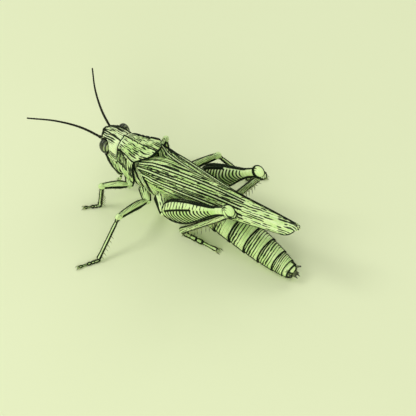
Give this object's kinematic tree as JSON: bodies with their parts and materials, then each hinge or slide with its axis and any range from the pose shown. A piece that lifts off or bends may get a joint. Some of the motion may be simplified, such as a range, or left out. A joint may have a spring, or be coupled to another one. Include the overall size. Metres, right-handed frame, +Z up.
{
  "type": "grasshopper figure",
  "caption": "Life-size short-horned grasshopper standing with folded wings, long jumping legs, a saddle-shaped pronotum and a ringed abdomen.",
  "frame": {"origin": "middle of the base of the whole figure's bounding box, on the floor under its feet", "axes": "+X from the head towards the wing tips, +Y to the animal's right, +Z up"},
  "size_m": [0.087, 0.0552, 0.0261],
  "materials": {
    "shell": "satin",
    "belly": "satin",
    "wing": "satin",
    "leg": "satin",
    "eye": "gloss",
    "horn": "satin"
  },
  "bodies": {
    "root": {"head": "shell", "clypeus": "shell", "labrum": "belly", "eye_left": "eye", "eye_right": "eye", "antenna_left": "horn", "antenna_right": "horn", "mandible_left": "horn", "mandible_right": "horn", "palp_left": "belly", "palp_right": "belly", "labium": "belly", "pronotum": "shell", "prothorax": "belly", "mesothorax": "belly", "metathorax": "belly", "forewing_left": "wing", "forewing_right": "wing", "hindwing_left": "wing", "hindwing_right": "wing", "abdomen_1": "belly", "abdomen_2": "belly", "abdomen_3": "belly", "abdomen_4": "belly", "abdomen_5": "belly", "abdomen_6": "belly", "abdomen_7": "belly", "abdomen_8": "belly", "abdomen_tip": "belly", "ovipositor": "horn", "cercus_left": "horn", "cercus_right": "horn", "coxa_fore_left": "leg", "femur_fore_left": "leg", "tibia_fore_left": "leg", "tarsus_fore_left": "leg", "coxa_fore_right": "leg", "femur_fore_right": "leg", "tibia_fore_right": "leg", "tarsus_fore_right": "leg", "coxa_middle_left": "leg", "femur_middle_left": "leg", "tibia_middle_left": "leg", "tarsus_middle_left": "leg", "coxa_middle_right": "leg", "femur_middle_right": "leg", "tibia_middle_right": "leg", "tarsus_middle_right": "leg", "coxa_hind_left": "leg", "femur_hind_left": "leg", "tibia_hind_left": "leg", "tarsus_hind_left": "leg", "coxa_hind_right": "leg", "femur_hind_right": "leg", "tibia_hind_right": "leg", "tarsus_hind_right": "leg"}
  },
  "joints": []
}
